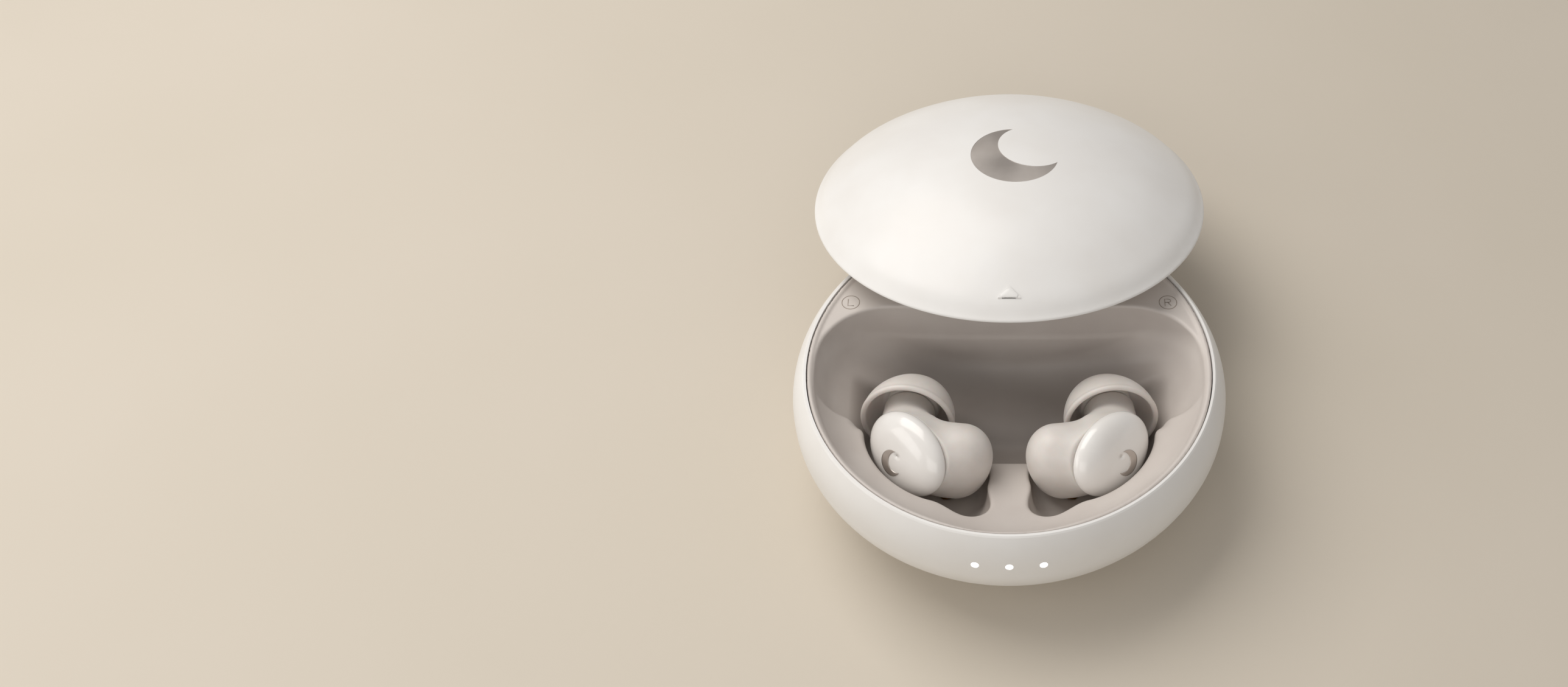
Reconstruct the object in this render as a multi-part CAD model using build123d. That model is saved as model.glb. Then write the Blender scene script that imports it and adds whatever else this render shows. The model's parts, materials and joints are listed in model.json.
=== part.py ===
"""Wireless earbuds case: a round charging case with a curved sliding lid and two earbuds.

Frame: origin at the centre of the flat foot, +Z up, front (charge lights) towards -Y,
charging port towards +Y. Millimetres. The lid is modelled open, slid back over the rear.
"""
import os
from math import asin, degrees, hypot, radians, sin, sqrt

from build123d import *

os.makedirs("parts", exist_ok=True)

# ---------------------------------------------------------------- case
BELLY_RADIUS = 31.5          # widest radius of the outer shell
BELLY_Z = 15.63              # height of the widest section
RIM_RADIUS = 29.75           # outer radius at the rim
RIM_Z = 21.46                # top of the rim
FOOT_RADIUS = 14.0           # flat foot, a low step under the bowl
BOWL_POWER = 2.363           # roundness of the lower bowl
SHELL_INNER_RADIUS = 29.2
SHELL_FLOOR = 1.8            # thickness of the shell at its foot
RIM_GAP = 0.15               # gap line between the tray and the shell
TRAY_RADIUS = SHELL_INNER_RADIUS - RIM_GAP
TRAY_LIP_Z = 21.35
TRAY_LIP_WIDTH = 0.5
DECK_Z = 21.05               # flat rear deck beside the lid track
TRAY_WALL = 1.1
SHELF_Z = 14.0               # front shelf that the earbud wells are sunk in
TROUGH_Z = 5.0               # floor of the trough behind the earbuds
TROUGH_BACK_Y = 11.3
TROUGH_FRONT_Y = -5.0
TROUGH_ROUND = 5.5           # radius between the trough's floor and its back wall
TROUGH_POWER = 1.6           # roundness of the trough's sloping ends
TROUGH_SUNK = 0.45           # depth of the ends' lowest point below the trough's floor
OPENING_HALF_WIDTH = 28.5    # opening in the deck, at its widest
OPENING_CORNER = 11.1        # radius of its rear corners
WELL_Z = 6.6                 # floor of the wells under the earbuds
WELL_CENTRE = (-11.9, -9.35)
WELL_SEMI_LONG = 10.7
WELL_SEMI_SHORT = 8.05
WELL_TURN = -51.4            # degrees, direction of a well's long axis
POCKET_CENTRE = (-5.6, -18.6)                # round finger pocket at the front of a well
POCKET_RADIUS = 2.9
POCKET_Z = 9.5
POCKET_ROUND = 2.0
TIP_SLOT_Y = (-8.0, 4.5)
TIP_SLOT_GAP = 0.45          # clearance round an ear tip

# ---------------------------------------------------------------- boards and fixings in the case
PCB_Z = 8.0
PCB_THICKNESS = 0.8
PCB_TOP = PCB_Z + PCB_THICKNESS
PCB_SCREW_X = 11.0
PCB_SCREW_Y = 14.5
MAGNET_RADIUS = 2.0
MAGNET_PLACES = ((-13.0, 15.4), (13.0, 15.4))
CRADLE_MAGNET_PLACE = (-12.1, -12.2, 4.45)
CRADLE_MAGNET_SIZE = (1.2, 0.95)             # radius and height
POGO_BOARD_Z = 4.2
POGO_BARREL_Z = 4.7
PLUNGER_RADIUS = 0.5
PLUNGER_Z = 5.5

# ---------------------------------------------------------------- charge lights, port and button
LIGHT_PITCH = 4.65
LIGHT_RADIUS = 0.5
LIGHT_Z = 16.8
LED_BOARD_Y = -27.85         # back face of the light board
LED_BOARD_THICKNESS = 0.4
LED_HALF = 0.4               # half the width of a light chip
LED_HEIGHT = 0.35
PORT_Z = 10.7
PORT_WIDTH = 8.94            # outside of the receptacle shell
PORT_HEIGHT = 3.26
PORT_WALL = 0.3
PORT_LENGTH = 7.9
PORT_MOUTH_Y = 29.9
BUTTON_Z = 16.0
BUTTON_RADIUS = 1.8
BUTTON_CLEARANCE = 0.08
BUTTON_TRAVEL = 0.3

# ---------------------------------------------------------------- lid and its curved slide
LID_RADIUS = 30.0
LID_HEIGHT = 11.25           # dome height above its rim
LID_POWER = 0.793
LID_WALL = 1.5
LID_Z = 21.7                 # rim plane when closed
PIVOT_Y = 16.9               # centre of the slide's arc
PIVOT_Z = -139.0
OPEN_ANGLE = 11.34           # degrees of arc from closed to open
LINER_Z = 24.9
LINER_THICKNESS = 0.9
TRACK_INNER = 161.30         # radius of the track's underside about the slide's centre
TRACK_LIP = 0.55
TRACK_SLOT = 0.95
TRACK_WEB = 0.65
TRACK_WALL = 0.6
TRACK_TOP = TRACK_INNER + TRACK_LIP + TRACK_SLOT + TRACK_WEB
TRACK_WIDTH = 14.0
TRACK_SCREW_PLACES = ((-2.5, -8.0), (2.5, -8.0), (-2.5, 17.0), (2.5, 17.0))
TRACK_LIP_REACH = 2.4
SHOE_FRONT_Y = 18.4
SHOE_BACK_Y = 23.0
SHOE_MIDDLE_Y = (SHOE_FRONT_Y + SHOE_BACK_Y) / 2
SHOE_SCREW_X = (-2.6, 2.6)
SHOE_SCREW_HEAD_Z = 22.2
SLIDE_GAP = 0.08
BUMPER_LENGTH = 1.1
STOP_GAP = 0.06              # shoe to bumper at each end of the travel
SHOE_FRONT_ANGLE = degrees(asin((SHOE_FRONT_Y - PIVOT_Y) / TRACK_INNER))
TRACK_FRONT_Y = PIVOT_Y - TRACK_INNER * sin(radians(OPEN_ANGLE - SHOE_FRONT_ANGLE)) - BUMPER_LENGTH - STOP_GAP
TRACK_BACK_Y = SHOE_BACK_Y + BUMPER_LENGTH + STOP_GAP
LID_EMBLEM_PLACE = (0.8, -3.0)
LID_EMBLEM_RADIUS = 6.6
LID_EMBLEM_DEPTH = 0.4
LID_MARK_Y = -27.7            # flat side of the raised triangle near the front edge
LID_MARK_WIDTH = 3.3
LID_MARK_LENGTH = 1.4
LID_MARK_HEIGHT = 0.25

# ---------------------------------------------------------------- earbuds (left one; the right is its mirror)
BUD_CENTRE = Vector(-14.25, -11.65, 15.8)     # centre of the seam between cap and body
BUD_NORMAL = Vector(-0.615, -0.580, 0.534)   # the way the face cap looks
TIP_CENTRE = Vector(-14.85, -4.05, 13.3)     # centre of the ear tip's open rim
TIP_AXIS = Vector(0.12, 0.98, -0.16)         # the way the ear tip points
CAP_SEMI = (7.1, 5.5)
CAP_BACK = -0.3
CAP_FRONT = 2.1
CORE_SEMI = (6.2, 4.7)
CORE_DEPTH = 5.3
CORE_WALL = 0.7
SLEEVE_SEMI = (6.9, 5.3)
SLEEVE_DEPTH = 6.2
LOBE_CENTRE = (3.9, -0.4, -6.4)              # in the bud's own frame
LOBE_RADIUS = 4.9
LOBE_TOP = (5.0, 3.1, -5.1)
LOBE_TOP_RADIUS = 3.9
CUP_RADIUS = 2.9
CUP_DEPTH = 8.4
NOZZLE_RADIUS = 2.3
NOZZLE_BORE = 1.6
TIP_RADIUS = 6.95
TIP_LENGTH = 6.9
STEM_RADIUS = 3.1
TIP_SKIRT = 0.65
STEM_START = 0.4
EMBLEM_CENTRE = (-0.4, -1.5)
CAP_EMBLEM_RADIUS = 1.9
CAP_EMBLEM_DEPTH = 0.25
CONTACT_POINTS = ((-6.5, -9.8), (-9.1, -12.0))
CONTACT_RADIUS = 0.8
CONTACT_THICKNESS = 0.5
CONTACT_Z = 7.9              # height where the charging pins meet the earbud's contacts


def ring(outer, inner, height, z=0.0):
    """A flat ring standing on height z."""
    return Pos(0, 0, z) * extrude(Circle(outer) - Circle(inner), height)


def box(x, y, z):
    """A box from pairs of lowest and highest coordinates."""
    centre = ((x[0] + x[1]) / 2, (y[0] + y[1]) / 2, (z[0] + z[1]) / 2)
    return Pos(*centre) * Box(x[1] - x[0], y[1] - y[0], z[1] - z[0])


def post(radius, height, x, y, z):
    """An upright cylinder standing on (x, y, z)."""
    return Pos(x, y, z) * extrude(Circle(radius), height)


def rod(radius, y0, y1, x, z):
    """A cylinder lying along Y."""
    return Pos(x, y0, z) * Rot(-90, 0, 0) * extrude(Circle(radius), y1 - y0)


def slot_rod(width, height, y0, y1, z):
    """A stadium-section bar lying along Y."""
    section = Plane.XZ.offset(-y0) * Pos(0, z) * SlotOverall(width, height)
    return extrude(section, -(y1 - y0))


def spun(*edges):
    """A solid of revolution about Z from a closed outline in the XZ plane."""
    return revolve(make_face(Curve() + list(edges)), Axis.Z)


def bowl_radius(z, radius, height):
    """Radius of the lower bowl at height z, for a bowl of that radius and depth below the belly."""
    depth = max(0.0, (BELLY_Z - z) / height)
    return radius * sqrt(max(0.0, 1 - depth**BOWL_POWER))


def shoulder_radius(z):
    """Radius of the shell's outside between its belly and its rim."""
    share = (z - BELLY_Z) / (RIM_Z - BELLY_Z)
    return BELLY_RADIUS - (BELLY_RADIUS - RIM_RADIUS) * share**2


def shell_body():
    """The outer shell before its holes are cut."""
    levels = (1.5, 3.0, 5.0, 7.5, 10.0, 12.8, BELLY_Z)
    low = [(bowl_radius(z, BELLY_RADIUS, BELLY_Z), 0, z) for z in levels]
    bowl = Spline(*low, tangents=((1, 0, 0.2), (0, 0, 1)))
    shoulder = Spline(
        (BELLY_RADIUS, 0, BELLY_Z),
        (shoulder_radius((BELLY_Z + RIM_Z) / 2), 0, (BELLY_Z + RIM_Z) / 2),
        (RIM_RADIUS, 0, RIM_Z - 0.2),
    )
    inner_height = BELLY_Z - SHELL_FLOOR
    levels = (BELLY_Z - 1.0, 12.0, 9.0, 6.0, 4.0, 2.6)
    inside = [(bowl_radius(z, SHELL_INNER_RADIUS, inner_height), 0, z) for z in levels]
    inner = Spline(*inside, (FOOT_RADIUS * 0.6, 0, SHELL_FLOOR + 0.05), (0, 0, SHELL_FLOOR))
    return spun(
        Line((0, 0, 0), (FOOT_RADIUS - 0.4, 0, 0)),
        Line((FOOT_RADIUS - 0.4, 0, 0), (FOOT_RADIUS, 0, 0.4)),
        Line((FOOT_RADIUS, 0, 0.4), low[0]),
        bowl,
        shoulder,
        Line((RIM_RADIUS, 0, RIM_Z - 0.2), (RIM_RADIUS - 0.2, 0, RIM_Z)),
        Line((RIM_RADIUS - 0.2, 0, RIM_Z), (SHELL_INNER_RADIUS, 0, RIM_Z)),
        Line((SHELL_INNER_RADIUS, 0, RIM_Z), inside[0]),
        inner,
        Line((0, 0, SHELL_FLOOR), (0, 0, 0)),
    )


def light_places():
    """Centres of the three charge lights across the front."""
    return [-LIGHT_PITCH, 0.0, LIGHT_PITCH]


def outer_shell():
    shell = shell_body()
    for x in light_places():
        shell -= rod(LIGHT_RADIUS + 0.04, -BELLY_RADIUS - 1, -24, x, LIGHT_Z)
    shell -= slot_rod(PORT_WIDTH + 0.16, PORT_HEIGHT + 0.16, 24, BELLY_RADIUS + 1, PORT_Z)
    shell -= rod(BUTTON_RADIUS + BUTTON_CLEARANCE, 26, BELLY_RADIUS + 1, 0, BUTTON_Z)
    return shell


# ---------------------------------------------------------------- tray
def mirrored(shape):
    """The right-hand twin of a left-hand shape."""
    return mirror(shape, about=Plane.YZ)


def well(grow, floor):
    """Space of one earbud's well, grown sideways, from its floor up."""
    outline = Rot(0, 0, WELL_TURN) * Ellipse(WELL_SEMI_LONG + grow, WELL_SEMI_SHORT + grow)
    body = Pos(*WELL_CENTRE, floor) * extrude(outline, 30)
    return fillet(body.edges().group_by(Axis.Z)[0], 2.5 + grow)


def pocket(grow):
    """Round finger pocket that opens into the front of a well."""
    body = post(POCKET_RADIUS + grow, 40, *POCKET_CENTRE, POCKET_Z - grow)
    return fillet(body.edges().group_by(Axis.Z)[0], POCKET_ROUND + grow)


def tip_slot(grow):
    """Round-bottomed space of one ear tip, between its well and the trough."""
    radius = TIP_RADIUS + TIP_SLOT_GAP + grow
    y0, y1 = TIP_SLOT_Y[0] - grow, TIP_SLOT_Y[1] + grow
    low = rod(radius, y0, y1, TIP_CENTRE.X, TIP_CENTRE.Z)
    return low + box((TIP_CENTRE.X - radius, TIP_CENTRE.X + radius), (y0, y1), (TIP_CENTRE.Z, 40))


def opening(grow):
    """Everything inside the outline of the opening in the deck, which is rounded at its rear corners."""
    half = OPENING_HALF_WIDTH + grow
    outline = box((-half, half), (-60, TROUGH_BACK_Y + grow), (0, 60))
    rear_edges = outline.edges().filter_by(Axis.Z).group_by(Axis.Y)[-1]
    return fillet(rear_edges, OPENING_CORNER + grow)


def trough_bowl(grow):
    """Rounded space that slopes in from the lip to the trough's floor."""
    edge = TRAY_RADIUS - TRAY_LIP_WIDTH + grow
    low = TROUGH_Z - TROUGH_SUNK - grow
    shares = (0.0, 0.15, 0.32, 0.5, 0.68, 0.83, 0.94)
    side = [(edge * sqrt(1 - k**TROUGH_POWER), 0, TRAY_LIP_Z - k * (TRAY_LIP_Z - low)) for k in shares]
    return spun(
        Spline(*side, (0, 0, low), tangents=((0, 0, -1), (-1, 0, 0))),
        Line((0, 0, low), (0, 0, 40)),
        Line((0, 0, 40), (edge, 0, 40)),
        Line((edge, 0, 40), side[0]),
    )


def trough(grow):
    """Space across the middle of the tray, with ends that slope up to the lip."""
    span = box(
        (-40, 40),
        (TROUGH_FRONT_Y - grow, TROUGH_BACK_Y + grow),
        (TROUGH_Z - grow, 40),
    )
    low_edges = span.edges().filter_by(Axis.X).group_by(Axis.Z)[0].sort_by(Axis.Y)
    span = fillet(low_edges[-1], TROUGH_ROUND + grow)
    return span & trough_bowl(grow) & opening(grow)


def shelf_bowl(grow):
    """Shallow bowl of the front shelf, inside the lip and ahead of the rear deck."""
    edge = TRAY_RADIUS - TRAY_LIP_WIDTH + grow
    floor = SHELF_Z - grow
    profile = Spline(
        (edge, 0, TRAY_LIP_Z),
        (edge - 3.0, 0, floor + 3.0),
        (edge - 9.0, 0, floor + 0.4),
        (0, 0, floor),
    )
    bowl = spun(
        profile,
        Line((0, 0, floor), (0, 0, 40)),
        Line((0, 0, 40), (edge, 0, 40)),
        Line((edge, 0, 40), (edge, 0, TRAY_LIP_Z)),
    )
    return bowl & opening(grow)


def ramp(grow):
    """Slope from the trough's floor up to the shelf between the two wells."""
    foot_y, top_y, above = -2.0, -13.5, 22.0
    half_width = 4.0 + grow
    side = Polyline(
        (0, top_y, SHELF_Z + 0.5 - 1.4 * grow),
        (0, foot_y, TROUGH_Z - grow),
        (0, -foot_y, TROUGH_Z - grow),
        (0, -foot_y, above),
        (0, top_y, above),
        close=True,
    )
    return Pos(-half_width, 0, 0) * extrude(make_face(side), 2 * half_width, dir=(1, 0, 0))


def room(radius):
    """The room inside the shell, out to a radius at the rim."""
    levels = (BELLY_Z, 12.0, 9.0, 6.0, 4.0, 2.6)
    side = [(bowl_radius(z, radius, BELLY_Z - SHELL_FLOOR), 0, z) for z in levels]
    return spun(
        Spline(*side, (FOOT_RADIUS * 0.6, 0, SHELL_FLOOR + 0.05), (0, 0, SHELL_FLOOR)),
        Line((0, 0, SHELL_FLOOR), (0, 0, 40)),
        Line((0, 0, 40), (radius, 0, 40)),
        Line((radius, 0, 40), side[0]),
    )


def hollow(grow):
    """Everything that is open above the tray; grown, it is the outside of the tray's walls."""
    left = well(grow, WELL_Z - grow) + pocket(grow) + tip_slot(min(grow, 0.9))
    return shelf_bowl(grow) + trough(grow) + ramp(grow) + left + mirrored(left)


def inner_tray():
    limits = box((-40, 40), (-40, 40), (0, DECK_Z)) & (Pos(0, 0, 0.25) * room(TRAY_RADIUS))
    deck = Pos(0, 0, DECK_Z - TRAY_WALL) * extrude(Circle(TRAY_RADIUS), TRAY_WALL)
    lip_foot = DECK_Z - TRAY_WALL
    lip = ring(TRAY_RADIUS, TRAY_RADIUS - TRAY_LIP_WIDTH, TRAY_LIP_Z - lip_foot, lip_foot)
    tray = deck + (hollow(TRAY_WALL) & limits) + lip - hollow(0)
    for x, y in CONTACT_POINTS:
        hole = post(CONTACT_RADIUS + 0.35, 6, x, y, 3)
        tray -= hole + mirrored(hole)
    for x in SHOE_SCREW_X:
        tray -= post(0.5, 4, x, SHOE_MIDDLE_Y, DECK_Z - 3)
    return tray


# ---------------------------------------------------------------- parts inside the case
def main_pcb():
    board = box((-15, 15), (12.8, 24.8), (PCB_Z, PCB_Z + PCB_THICKNESS)) & post(25.0, 20, 0, 0, 0)
    for x in (-PCB_SCREW_X, PCB_SCREW_X):
        board -= post(0.8, 5, x, PCB_SCREW_Y, PCB_Z - 1)
    return board


def pcb_bosses():
    """Bosses that stand on the shell's floor and carry the main board."""
    bosses = []
    for x in (-PCB_SCREW_X, PCB_SCREW_X):
        bosses.append(post(1.6, PCB_Z - 3, x, PCB_SCREW_Y, 3) - post(0.6, 5, x, PCB_SCREW_Y, PCB_Z - 3))
    return bosses


def screws(places, head_z, shank, head_radius=1.1, shank_radius=0.45, head_height=0.6):
    """A group of small screws, heads up, all alike."""
    made = []
    for x, y in places:
        screw = post(head_radius, head_height, x, y, head_z) + post(shank_radius, shank, x, y, head_z - shank)
        made.append(screw - post(0.4, 0.4, x, y, head_z + head_height - 0.3))
    return Compound(children=made)


def usb_c_receptacle():
    y1 = PORT_MOUTH_Y
    y0 = y1 - PORT_LENGTH
    outer = slot_rod(PORT_WIDTH, PORT_HEIGHT, y0, y1, PORT_Z)
    inner = slot_rod(PORT_WIDTH - 2 * PORT_WALL, PORT_HEIGHT - 2 * PORT_WALL, y0 + 0.8, y1 + 1, PORT_Z)
    return outer - inner


def usb_tongue():
    y0 = PORT_MOUTH_Y - PORT_LENGTH + 0.8
    blade = box((-3.35, 3.35), (y0, PORT_MOUTH_Y - 0.8), (PORT_Z - 0.35, PORT_Z + 0.35))
    root = box((-3.6, 3.6), (y0, y0 + 1.2), (PORT_Z - 0.9, PORT_Z + 0.9))
    return blade + root


def pairing_button():
    stem = rod(BUTTON_RADIUS, 28.3, BELLY_RADIUS + 0.2, 0, BUTTON_Z)
    stem = fillet(stem.edges().group_by(Axis.Y)[-1], 0.3)
    return stem + rod(BUTTON_RADIUS + 0.6, 28.3, 28.8, 0, BUTTON_Z)


def light_guides():
    """Three clear pins through the shell's front wall."""
    back = LED_BOARD_Y - LED_BOARD_THICKNESS - LED_HEIGHT - 0.05
    pins = []
    for x in light_places():
        front = -sqrt(shoulder_radius(LIGHT_Z) ** 2 - x**2)
        pins.append(rod(LIGHT_RADIUS, front + 0.1, back, x, LIGHT_Z))
    return Compound(children=pins)


def led_board():
    front = LED_BOARD_Y - LED_BOARD_THICKNESS
    return box((-5.5, 5.5), (front, LED_BOARD_Y), (LIGHT_Z - 2.4, LIGHT_Z + LED_HALF))


def led_chips():
    back = LED_BOARD_Y - LED_BOARD_THICKNESS
    heights = (LIGHT_Z - LED_HALF, LIGHT_Z + LED_HALF)
    return Compound(
        children=[box((x - LED_HALF, x + LED_HALF), (back - LED_HEIGHT, back), heights) for x in light_places()]
    )


def led_flex():
    """Narrow ribbon from the light board, down inside the shell and under the tray, to the main board."""
    thick = 0.15
    steep = [(-27.6, 15.6), (-27.2, 13.4), (-26.0, 11.0), (-23.6, 8.8)]
    flat = [(-20.5, 6.6), (-12.5, 3.3), (10.3, 3.3), (13.4, 7.8)]
    top = [(0, y + thick, z) for y, z in steep] + [(0, y, z + thick) for y, z in flat]
    bottom = [(0, y, z) for y, z in reversed(steep + flat)]
    return Pos(-0.6, 0, 0) * extrude(make_face(Polyline(*top, *bottom, close=True)), 1.2, dir=(1, 0, 0))


def pogo_barrels():
    tubes = []
    for x, y in CONTACT_POINTS:
        barrel = post(CONTACT_RADIUS + 0.3, WELL_Z - POGO_BARREL_Z, x, y, POGO_BARREL_Z)
        tubes.append(barrel - post(PLUNGER_RADIUS + 0.05, 3, x, y, POGO_BARREL_Z + 0.3))
    return Compound(children=tubes)


def pogo_plungers():
    return Compound(
        children=[post(PLUNGER_RADIUS, CONTACT_Z - PLUNGER_Z, x, y, PLUNGER_Z) for x, y in CONTACT_POINTS]
    )


def pogo_board():
    (x0, y0), (x1, y1) = CONTACT_POINTS
    turn = degrees(asin((y0 - y1) / hypot(x1 - x0, y1 - y0)))
    plate = extrude(RectangleRounded(6.2, 3.0, 0.8), 0.5)
    return Pos((x0 + x1) / 2, (y0 + y1) / 2, POGO_BOARD_Z) * Rot(0, 0, turn) * plate


def slide_shoe():
    """T-headed shoe on the rear deck that the lid's track runs on."""
    stem_half = TRACK_WIDTH / 2 - TRACK_LIP_REACH - SLIDE_GAP
    head_half = TRACK_WIDTH / 2 - TRACK_WALL - SLIDE_GAP
    head_low = TRACK_INNER + TRACK_LIP + SLIDE_GAP
    head_high = TRACK_INNER + TRACK_LIP + TRACK_SLOT - SLIDE_GAP
    stem = arc_bar((-stem_half, stem_half), (head_low - 4, head_low), SHOE_FRONT_Y, SHOE_BACK_Y)
    head = arc_bar((-head_half, head_half), (head_low, head_high), SHOE_FRONT_Y, SHOE_BACK_Y)
    shoe = (stem & box((-9, 9), (18, 30), (DECK_Z, 30))) + head
    for x in SHOE_SCREW_X:
        shoe -= post(0.5, 6, x, SHOE_MIDDLE_Y, DECK_Z - 1) + post(1.15, 4, x, SHOE_MIDDLE_Y, SHOE_SCREW_HEAD_Z)
    return shoe


# ---------------------------------------------------------------- lid
def about_pivot(shape, angle):
    """A shape turned about the slide's centre; a negative angle opens the lid."""
    return Pos(0, PIVOT_Y, PIVOT_Z) * Rot(angle, 0, 0) * Pos(0, -PIVOT_Y, -PIVOT_Z) * shape


def opened(shape):
    """A lid piece moved from its closed place to its open one."""
    return about_pivot(shape, -OPEN_ANGLE)


def arc_bar(x, radius, y0, y1):
    """A bar curved about the slide's centre, between two distances along Y."""
    section = make_face(
        Polyline(
            (x[0], PIVOT_Y, PIVOT_Z + radius[0]),
            (x[1], PIVOT_Y, PIVOT_Z + radius[0]),
            (x[1], PIVOT_Y, PIVOT_Z + radius[1]),
            (x[0], PIVOT_Y, PIVOT_Z + radius[1]),
            close=True,
        )
    )
    front, back = (degrees(asin((y - PIVOT_Y) / TRACK_INNER)) for y in (y0, y1))
    axis = Axis((0, PIVOT_Y, PIVOT_Z), (1, 0, 0))
    return about_pivot(revolve(section, axis, revolution_arc=back - front), -back)


def dome(radius, height):
    """A solid dome standing on the lid's rim plane."""
    stations = (0.0, 0.3, 0.55, 0.75, 0.88, 0.96, 0.992)
    top = [(radius * k, 0, LID_Z + height * (1 - k * k) ** LID_POWER) for k in stations]
    return spun(
        Spline(*top, (radius, 0, LID_Z), tangents=((1, 0, 0), (0, 0, -1))),
        Line((radius, 0, LID_Z), (0, 0, LID_Z)),
        Line((0, 0, LID_Z), top[0]),
    )


def crescent(radius, height):
    """An upright crescent moon prism, open towards the upper right."""
    moon = Circle(radius) - Pos(radius * 0.42, radius * 0.34) * Circle(radius * 0.8)
    return extrude(moon, height)


def lid_emblem_prism():
    return Pos(*LID_EMBLEM_PLACE, LID_Z) * crescent(LID_EMBLEM_RADIUS, 20)


def lid_dome():
    outer = dome(LID_RADIUS, LID_HEIGHT)
    shell_part = outer - dome(LID_RADIUS - LID_WALL, LID_HEIGHT - LID_WALL)
    corners = ((-LID_MARK_WIDTH / 2, 0), (LID_MARK_WIDTH / 2, 0), (0, LID_MARK_LENGTH))
    mark = Pos(0, LID_MARK_Y, LID_Z) * extrude(make_face(Polyline(*corners, close=True)), 20)
    raised = dome(LID_RADIUS + LID_MARK_HEIGHT, LID_HEIGHT + LID_MARK_HEIGHT)
    shell_part += (mark & raised) - dome(LID_RADIUS - 0.5, LID_HEIGHT - 0.5)
    recess = lid_emblem_prism() - dome(LID_RADIUS - LID_EMBLEM_DEPTH, LID_HEIGHT - LID_EMBLEM_DEPTH)
    return shell_part - recess


def lid_emblem():
    low = dome(LID_RADIUS - LID_EMBLEM_DEPTH, LID_HEIGHT - LID_EMBLEM_DEPTH)
    high = dome(LID_RADIUS - 0.06, LID_HEIGHT - 0.06)
    return (lid_emblem_prism() & high) - low


def lid_liner():
    """Inner plate of the lid, with a saddle under it that carries the track."""
    inside = dome(LID_RADIUS - LID_WALL - 0.1, LID_HEIGHT - LID_WALL - 0.1)
    plate = inside & box((-40, 40), (-40, 40), (LINER_Z, LINER_Z + LINER_THICKNESS))
    saddle = box((-5, 5), (TRACK_FRONT_Y + 1, TRACK_BACK_Y - 1), (18, LINER_Z))
    saddle -= arc_bar((-9, 9), (TRACK_INNER - 10, TRACK_TOP), TRACK_FRONT_Y - 4, TRACK_BACK_Y + 4)
    liner = plate + saddle
    for x, y in MAGNET_PLACES:
        liner -= post(MAGNET_RADIUS + 0.05, 4, x, y, LINER_Z - 1)
    for x, y in TRACK_SCREW_PLACES:
        liner -= post(0.45, 3.9, x, y, LINER_Z - 3.5)
    return liner


def guide_track():
    """Curved channel, open downwards, with an inward lip along each side."""
    half = TRACK_WIDTH / 2
    channel = arc_bar((-half, half), (TRACK_INNER, TRACK_TOP), TRACK_FRONT_Y, TRACK_BACK_Y)
    head_half = half - TRACK_WALL
    slot_half = half - TRACK_LIP_REACH
    low = TRACK_INNER + TRACK_LIP
    channel -= arc_bar((-head_half, head_half), (low, low + TRACK_SLOT), TRACK_FRONT_Y - 4, TRACK_BACK_Y + 4)
    channel -= arc_bar((-slot_half, slot_half), (TRACK_INNER - 4, low), TRACK_FRONT_Y - 4, TRACK_BACK_Y + 4)
    for x, y in TRACK_SCREW_PLACES:
        channel -= post(0.5, 9, x, y, 17)
    return channel


def track_screws():
    """Flat-headed screws in the web of the track, heads down, flush in the head slot."""
    made = []
    for x, y in TRACK_SCREW_PLACES:
        web_z = PIVOT_Z + sqrt((TRACK_TOP - TRACK_WEB) ** 2 - (y - PIVOT_Y) ** 2)
        made.append(post(0.4, LINER_Z + 0.3 - web_z - 0.05, x, y, web_z + 0.05))
    return Compound(children=made)


def stop_bumpers():
    """Soft stops that close both ends of the track."""
    half = TRACK_WIDTH / 2 - TRACK_WALL
    low = TRACK_INNER + TRACK_LIP
    radius = (low, low + TRACK_SLOT)
    front = arc_bar((-half, half), radius, TRACK_FRONT_Y, TRACK_FRONT_Y + BUMPER_LENGTH)
    back = arc_bar((-half, half), radius, TRACK_BACK_Y - BUMPER_LENGTH, TRACK_BACK_Y)
    return Compound(children=[front, back])


def magnets(z, height):
    return Compound(children=[post(MAGNET_RADIUS, height, x, y, z) for x, y in MAGNET_PLACES])


# ---------------------------------------------------------------- earbud, in its own frame
# x runs along the face cap's long axis, y across it and z out of the cap.
BUD_X = Vector(0, 0, 1).cross(BUD_NORMAL).normalized()
BUD_PLANE = Plane(origin=BUD_CENTRE, x_dir=BUD_X, z_dir=BUD_NORMAL)


def on_bud(shape):
    """A shape drawn in the bud's frame, put in its place in the case."""
    return BUD_PLANE.location * shape


def on_tip(shape):
    """A shape drawn about +Z from the ear tip's rim centre, put on the ear tip's axis."""
    return Plane(origin=TIP_CENTRE, z_dir=TIP_AXIS).location * shape


def oval(semi, z0, z1):
    """An oval drum in the bud's frame."""
    return Pos(0, 0, z0) * extrude(Ellipse(*semi), z1 - z0)


def shrunk(semi, wall):
    return (semi[0] - wall, semi[1] - wall)


def emblem_on_cap():
    return Pos(*EMBLEM_CENTRE, CAP_FRONT - CAP_EMBLEM_DEPTH) * crescent(CAP_EMBLEM_RADIUS, CAP_EMBLEM_DEPTH)


def face_cap():
    cap = oval(CAP_SEMI, CAP_BACK, CAP_FRONT)
    cap = fillet(cap.edges().group_by(Axis.Z)[-1], 1.7)
    cap -= oval(shrunk(CAP_SEMI, 1.9), CAP_BACK, 0.9)
    return on_bud(cap - emblem_on_cap())


def cap_emblem():
    return on_bud(emblem_on_cap())


def core_outside():
    drum = oval(CORE_SEMI, -CORE_DEPTH, CAP_BACK)
    drum = fillet(drum.edges().group_by(Axis.Z)[0], 2.2)
    cup = Pos(LOBE_CENTRE[0], LOBE_CENTRE[1], -CUP_DEPTH) * extrude(Circle(CUP_RADIUS), 5)
    return on_bud(drum + cup) + nozzle_rod(NOZZLE_RADIUS, -3.4, 2.0)


def nozzle_rod(radius, start, end):
    """A rod on the ear tip's axis, between two distances from the tip's rim plane."""
    return on_tip(Pos(0, 0, start) * extrude(Circle(radius), end - start))


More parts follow.
